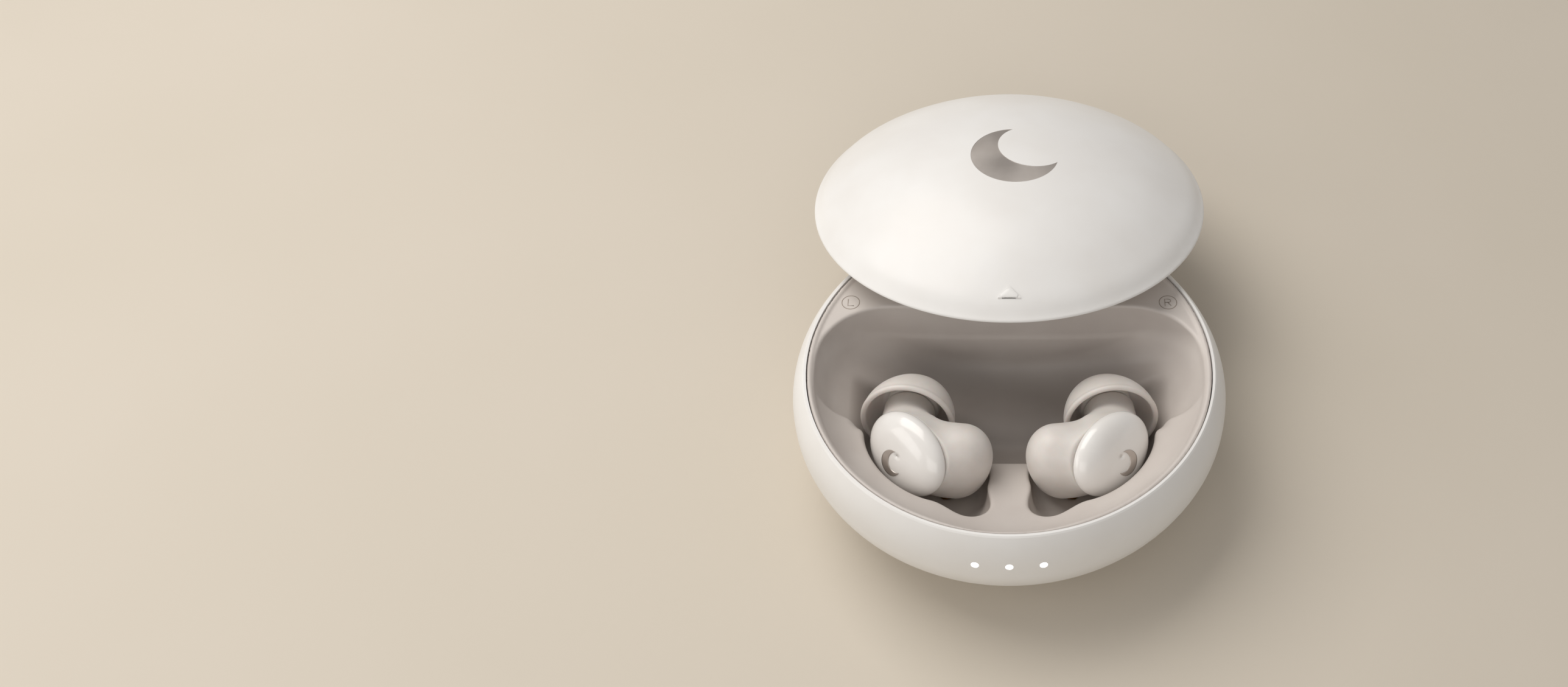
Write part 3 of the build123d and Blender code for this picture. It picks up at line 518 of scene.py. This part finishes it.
def along_tip(x, y, z):
    """How far points of the bud's frame lie along the ear tip's axis, and how far off it."""
    place = from_bud(np.stack([np.ravel(x), np.ravel(y), np.ravel(z)], 1)) - np.array(TIP_CENTRE)
    ahead = place @ np.array(TIP_AXIS)
    off = np.linalg.norm(place - ahead[:, None] * np.array(TIP_AXIS), axis=1)
    return ahead.reshape(np.shape(x)), off.reshape(np.shape(x))


def sleeve_field(x, y, z):
    """Silicone jacket with its round lobe and a neck that reaches into the ear tip."""
    drum = fillet_max(ellipse_field(x, y, SLEEVE_SEMI), -SLEEVE_DEPTH - z, 3.4)
    body = fillet_min(drum, ball_field(x, y, z, LOBE), 2.2)
    body = fillet_min(body, ball_field(x, y, z, LOBE_TOP), 2.6)
    ahead, off = along_tip(x, y, z)
    neck = fillet_max(off - NECK_RADIUS, np.maximum(ahead - NECK_REACH, -4.5 - ahead), 0.5)
    body = fillet_min(body, neck, 1.6)
    body = fillet_max(body, z - CAP_LOW + 0.05, 0.2)
    core = fillet_max(ellipse_field(x, y, CORE_SEMI), np.maximum(-CORE_DEPTH - z, z - 3), 2.2)
    cup = np.hypot(x - LOBE[0][0], y - LOBE[0][1]) - CUP_RADIUS
    core = np.minimum(core, np.maximum(cup, np.abs(z + CUP_DEPTH - CUP_HEIGHT / 2) - CUP_HEIGHT / 2))
    core = np.minimum(core, np.maximum(off - 2.3, -3.4 - ahead))
    made = np.maximum(body, -core)
    place = from_bud(np.stack([np.ravel(x), np.ravel(y), np.ravel(z)], 1))
    for place_x, place_y in PIN_PLACES:
        hole = np.hypot(place[:, 0] - place_x, place[:, 1] - place_y) - CONTACT_HOLE_RADIUS
        hole = np.maximum(hole, place[:, 2] - CONTACT_TOP).reshape(np.shape(x))
        made = np.maximum(made, -hole)
    return made


def cap_points(rings=26, turns=120):
    """Points and faces of the domed face cap, closed underneath by a shallow hollow."""
    profile, dome = [], CAP_RISE - CAP_SKIRT
    for k in range(rings + 1):
        angle = k / rings * math.pi / 2
        r = math.sin(angle) ** (2 / CAP_EDGE)
        profile.append((max(r, 1e-3), CAP_LOW + CAP_SKIRT + dome * math.cos(angle) ** (2 / CAP_CROWN)))
    profile += [(0.985, CAP_LOW + 0.2), (0.955, CAP_LOW + 0.05), (0.91, CAP_LOW), (0.80, CAP_LOW)]
    profile += [(0.76, CAP_LOW + 1.0), (0.5, CAP_LOW + 1.3), (1e-3, CAP_LOW + 1.35)]
    return spin(profile, turns, CAP_SEMI)


def cap_height(x, y):
    """Height of the cap's dome over a point of its plane."""
    share = min(math.hypot(x / CAP_SEMI[0], y / CAP_SEMI[1]), 1.0)
    lean = math.sqrt(max(0.0, 1 - share**CAP_EDGE))
    return CAP_LOW + CAP_SKIRT + (CAP_RISE - CAP_SKIRT) * lean ** (2 / CAP_CROWN)


def crescent(radius, steps=48):
    """Outline of a crescent moon, open towards the upper right."""
    bite, shift = 0.8 * radius, Vector((0.42 * radius, 0.34 * radius))
    apart = shift.length
    inward = (apart**2 + radius**2 - bite**2) / (2 * apart)
    half = math.acos(inward / radius)
    lean = math.atan2(shift.y, shift.x)
    outer = [lean + half + (2 * math.pi - 2 * half) * k / steps for k in range(steps + 1)]
    points = [Vector((math.cos(a), math.sin(a))) * radius for a in outer]
    tip = (points[0] - shift, points[-1] - shift)
    first, last = (math.atan2(p.y, p.x) for p in tip)
    last += 2 * math.pi if last < first else 0
    inner = [last + (first - last) * k / steps for k in range(1, steps)]
    return points + [shift + Vector((math.cos(a), math.sin(a))) * bite for a in inner]


def inlay(outline, height_at, thick, proud, rows=7):
    """Points and faces of a thin plate over a curved face, between the crescent's outer and inner edges."""
    half = len(outline) // 2
    outer, inner = outline[: half + 1], [outline[0]] + outline[:half:-1] + [outline[half]]
    points, faces = [], []
    columns = len(outer)
    for lift in (proud, proud - thick):
        for i in range(columns):
            for j in range(rows + 1):
                flat = outer[i].lerp(inner[min(i, len(inner) - 1)], j / rows)
                points.append((flat.x, flat.y, height_at(flat.x, flat.y) + lift))
    size = columns * (rows + 1)
    for i in range(columns - 1):
        for j in range(rows):
            a = i * (rows + 1) + j
            quad = (a, a + rows + 1, a + rows + 2, a + 1)
            faces.append(quad)
            faces.append(tuple(k + size for k in reversed(quad)))
        for j in (0, rows):
            a = i * (rows + 1) + j
            wall = (a, a + size, a + size + rows + 1, a + rows + 1)
            faces.append(wall if j == 0 else wall[::-1])
    return points, faces


def ear_tip_profile():
    """Outline of the domed ear tip, its rolled rim and its hollow, as (radius, height) pairs."""
    bead, steps, outside = TIP_BEAD, 28, []
    for k in range(steps + 1):
        angle = k / steps * math.pi / 2
        r = TIP_MOUTH + (TIP_RADIUS - 0.12 - TIP_MOUTH) * math.cos(angle) ** 1.3
        outside.append((r, 0.5 + (TIP_LENGTH - 0.5) * math.sin(angle) ** 1.1))
    rim = [
        (TIP_RADIUS - bead + bead * math.cos(a), 0.15 + bead * math.sin(a))
        for a in (math.radians(d) for d in range(30, -190, -20))
    ]
    inside = [
        (TIP_RADIUS - 0.85, 0.6), (TIP_RADIUS - 0.98, 1.4), (TIP_RADIUS - 1.45, 2.6),
        (TIP_RADIUS - 2.2, 3.6), (NECK_RADIUS + 0.15, 4.2), (NECK_RADIUS + 0.05, 3.0),
        (NECK_RADIUS + 0.05, 2.8), (2.4, 2.8), (2.35, 4.6), (1.6, 4.7), (1.6, TIP_LENGTH - 0.5),
        (1.65, TIP_LENGTH - 0.12),
    ]
    return outside[::-1] + rim + inside


def ear_tip_points():
    """Points and faces of the left ear tip."""
    points, faces = spin(ear_tip_profile(), 128)
    z_axis = np.array(TIP_AXIS)
    x_axis = np.cross((0, 0, 1), z_axis)
    x_axis /= np.linalg.norm(x_axis)
    y_axis = np.cross(z_axis, x_axis)
    lean = TIP_LEAN * np.clip(points[:, 2] / TIP_LENGTH, 0, 1) ** 1.5
    points = points @ np.array((x_axis, y_axis, z_axis)) + np.array(TIP_CENTRE)
    points[:, 0] += lean
    return points, faces


def other_side(points, faces):
    """The right-hand twin of a left-hand mesh."""
    return np.asarray(points) * (-1, 1, 1), [tuple(face)[::-1] for face in faces]


def earbud(side):
    """The sleeve, face cap, cap mark and ear tip of one earbud."""
    body = f"earbud_{side}"
    step = 0.2
    low, high = (-12.0, -6.2, -12.0), (9.4, 7.8, 0.4)
    points, faces = skin(sleeve_field, low, high, step)
    cap, cap_faces = cap_points()
    outline = [point + Vector(EMBLEM_CENTRE) for point in crescent(EMBLEM_RADIUS)]
    mark, mark_faces = inlay(outline, cap_height, EMBLEM_THICK, EMBLEM_PROUD)
    shapes = (
        ("sleeve", from_bud(points), faces, "silicone", "wing_sleeve"),
        ("cap", from_bud(cap), cap_faces, "pearl_gloss", "face_cap"),
        ("cap_mark", from_bud(mark), mark_faces, "emblem_metal", "cap_emblem"),
        ("tip", *ear_tip_points(), "silicone", "ear_tip"),
    )
    for name, place, quads, slot, node in shapes:
        if side == "right":
            place, quads = other_side(place, quads)
        piece(f"{name}_{side}", place, quads, body, slot, [f"{node}_{side}"])


for side in SIDES:
    earbud(side)


# ---------------------------------------------------------------- side marks on the deck
MARK_PLACE = (-23.5, 12.2)
MARK_RADIUS = 1.3
MARK_STROKE = 0.13
MARK_DEPTH = 0.05
MARK_PROUD = 0.012
# The marks' darker tone is painted shade, standing in for the shade inside the engraved grooves.
PAINTED_GROOVE_SHADE = material("engraved", "A79C92", "978C82", 0.6, patch=0.6, grain=0.05, bump=0.3)
LETTER_STROKES = {
    "left": [[(-0.3, 0.5), (-0.3, -0.5), (0.4, -0.5)]],
    "right": [
        [(-0.35, -0.5), (-0.35, 0.5), (0.1, 0.5), (0.3, 0.38), (0.3, 0.12), (0.1, 0.0), (-0.35, 0.0)],
        [(0.0, 0.0), (0.35, -0.5)],
    ],
}


def stroke(line, width, low, high):
    """Points and faces of a flat ribbon along a line."""
    line = [Vector(p) for p in line]
    points, faces = [], []
    for i, here in enumerate(line):
        ahead = (line[min(i + 1, len(line) - 1)] - line[max(i - 1, 0)]).normalized()
        side = Vector((-ahead.y, ahead.x)) * width / 2
        for z in (low, high):
            points += [(*(here - side), z), (*(here + side), z)]
    for i in range(len(line) - 1):
        a, b = 4 * i, 4 * i + 4
        faces += [(a, b, b + 1, a + 1), (a + 2, a + 3, b + 3, b + 2)]
        faces += [(a, a + 2, b + 2, b), (a + 1, b + 1, b + 3, a + 3)]
    end = 4 * len(line) - 4
    return points, faces + [(0, 1, 3, 2), (end, end + 2, end + 3, end + 1)]


def side_mark(side):
    """An engraved letter in a ring that tells the two sides apart, darkened with painted shade for its grooves."""
    place = Vector((MARK_PLACE[0] if side == "left" else -MARK_PLACE[0], MARK_PLACE[1]))
    turns = [2 * math.pi * k / 40 for k in range(41)]
    lines = [[Vector((math.cos(a), math.sin(a))) * MARK_RADIUS for a in turns]]
    lines += [[Vector(p) * MARK_RADIUS for p in line] for line in LETTER_STROKES[side]]
    points, faces = [], []
    for line in lines:
        line = [place + p for p in line]
        more, quads = stroke(line, MARK_STROKE, DECK_Z - MARK_DEPTH, DECK_Z + MARK_PROUD)
        faces += [tuple(k + len(points) for k in quad) for quad in quads]
        points += more
    made = piece(f"side_mark_{side}", points, faces, "case", "tray_plastic")
    made.data.materials[0] = PAINTED_GROOVE_SHADE


for side in SIDES:
    side_mark(side)


# ---------------------------------------------------------------- mark on the lid's front edge
LID_RADIUS = 30.0
LID_HEIGHT = 11.25
LID_POWER = 0.793
LID_RIM_Z = 21.7
LID_JOINT = next(joint for joint in frame["joints"] if joint["name"] == "lid_slide")
LID_PIVOT = Vector([c / MM for c in LID_JOINT["pos_m"]])
LID_OPEN = math.radians(-LID_JOINT["range_deg"][0])
TRIANGLE = ((-1.65, -27.7), (1.65, -27.7), (0.0, -26.3))
TRIANGLE_ROUND = 0.22
TRIANGLE_LEVELS = ((1.0, -0.2), (1.0, 0.32), (0.97, 0.4), (0.9, 0.43), (0.2, 0.43))  # size and height
TRIANGLE_WEDGE = 0.4         # height at the point as a share of the height at the base


def lid_height(x, y):
    """Height of the closed lid's dome over a point."""
    return LID_RIM_Z + LID_HEIGHT * max(0.0, 1 - (x * x + y * y) / LID_RADIUS**2) ** LID_POWER


def opened(points):
    """Points of the closed lid, moved to where the open lid is."""
    turn = Matrix.Rotation(-LID_OPEN, 3, "X")
    return [LID_PIVOT + turn @ (Vector(p) - LID_PIVOT) for p in points]


def rounded(corners, radius, steps=8):
    """A polygon's outline with its corners rounded."""
    corners, made = [Vector(c) for c in corners], []
    for i, corner in enumerate(corners):
        before = (corners[i - 1] - corner).normalized()
        after = (corners[(i + 1) % len(corners)] - corner).normalized()
        half = before.angle(after) / 2
        centre = corner + (before + after).normalized() * radius / math.sin(half)
        start = corner + before * radius / math.tan(half)
        end = corner + after * radius / math.tan(half)
        for k in range(steps + 1):
            spoke = start.lerp(end, k / steps) - centre
            made.append(centre + spoke.normalized() * radius)
    return made


def lid_mark():
    """A small raised triangle that shows where to push the lid."""
    outline = rounded(TRIANGLE, TRIANGLE_ROUND)
    middle = sum(outline, Vector((0, 0))) / len(outline)
    tip_y, base_y = TRIANGLE[2][1], TRIANGLE[0][1]
    points, faces = [], []
    for share, lift in TRIANGLE_LEVELS:
        for flat in (middle.lerp(p, share) for p in outline):
            forward = (tip_y - flat.y) / (tip_y - base_y)
            wedge = TRIANGLE_WEDGE + (1 - TRIANGLE_WEDGE) * forward
            points.append((flat.x, flat.y, lid_height(flat.x, flat.y) + lift * wedge))
    count, top = len(outline), len(TRIANGLE_LEVELS) - 1
    for level in range(top):
        for i in range(count):
            j = (i + 1) % count
            a, b = level * count, (level + 1) * count
            faces.append((a + i, a + j, b + j, b + i))
    faces.append(tuple(range(top * count, (top + 1) * count)))
    faces.append(tuple(reversed(range(count))))
    piece("lid_mark", opened(points), faces, "lid", "pearl_shell")


lid_mark()


# ---------------------------------------------------------------- floor, lights and camera
FLOOR_HALF_SIZE = 0.9
KEY_LIGHT = ("key", (-0.20, 0.14, 0.40), (0, 0, 0.015), (0.36, 0.36), 1.4, "FFFBF6")
SIDE_LIGHT = ("side", (-0.42, -0.12, 0.20), (0, 0, 0.01), (0.30, 0.20), 0.35, "FFFDFA")
FRONT_LIGHT = ("front", (-0.10, -0.50, 0.34), (0, 0, 0.01), (0.50, 0.25), 0.6, "FFFBF6")
ROOM_TINT = "F0EEED"
ROOM_STRENGTH = 0.40
CAMERA_DOWN = 50.19          # degrees below the horizon
CAMERA_PLACE = (0.0, -0.1657, 0.2250)
CAMERA_LENS = 41.93
CAMERA_SENSOR = 36.0
CAMERA_SHIFT = -0.1437


def floor():
    """A pale floor that the case stands on."""
    mesh = bmesh.new()
    bmesh.ops.create_grid(mesh, x_segments=24, y_segments=24, size=FLOOR_HALF_SIZE)
    data = bpy.data.meshes.new("floor")
    mesh.to_mesh(data)
    mesh.free()
    made = bpy.data.objects.new("floor", data)
    bpy.context.scene.collection.objects.link(made)
    data.materials.append(material("floor", "D4CBBD", "D1C8B9", 0.7, patch=60, grain=2, bump=0.03))


def softbox(name, place, aim, size, power, tint):
    """A rectangular soft light at a place, facing a point; metres and watts."""
    lamp = bpy.data.lights.new(name, "AREA")
    lamp.shape = "RECTANGLE"
    lamp.size, lamp.size_y = size
    lamp.energy = power
    lamp.color = colour(tint)[:3]
    holder = bpy.data.objects.new(name, lamp)
    holder.location = place
    holder.rotation_euler = (Vector(aim) - Vector(place)).to_track_quat("-Z", "Y").to_euler()
    bpy.context.scene.collection.objects.link(holder)


def studio():
    """Three soft lights in an evenly bright room."""
    for light in (KEY_LIGHT, SIDE_LIGHT, FRONT_LIGHT):
        softbox(*light)
    world = bpy.data.worlds.new("room")
    bpy.context.scene.world = world
    world.use_nodes = True
    background = world.node_tree.nodes["Background"]
    background.inputs["Color"].default_value = colour(ROOM_TINT)
    background.inputs["Strength"].default_value = ROOM_STRENGTH


def camera():
    """The camera in front of the case, looking down at it."""
    lens = bpy.data.cameras.new("camera")
    lens.sensor_width = CAMERA_SENSOR
    lens.lens = CAMERA_LENS
    lens.shift_x = CAMERA_SHIFT
    lens.clip_start = 0.01
    holder = bpy.data.objects.new("camera", lens)
    holder.location = CAMERA_PLACE
    holder.rotation_euler = (math.radians(90 - CAMERA_DOWN), 0, 0)
    bpy.context.scene.collection.objects.link(holder)
    bpy.context.scene.camera = holder


floor()
studio()
camera()

bpy.context.scene.view_settings.view_transform = "Standard"
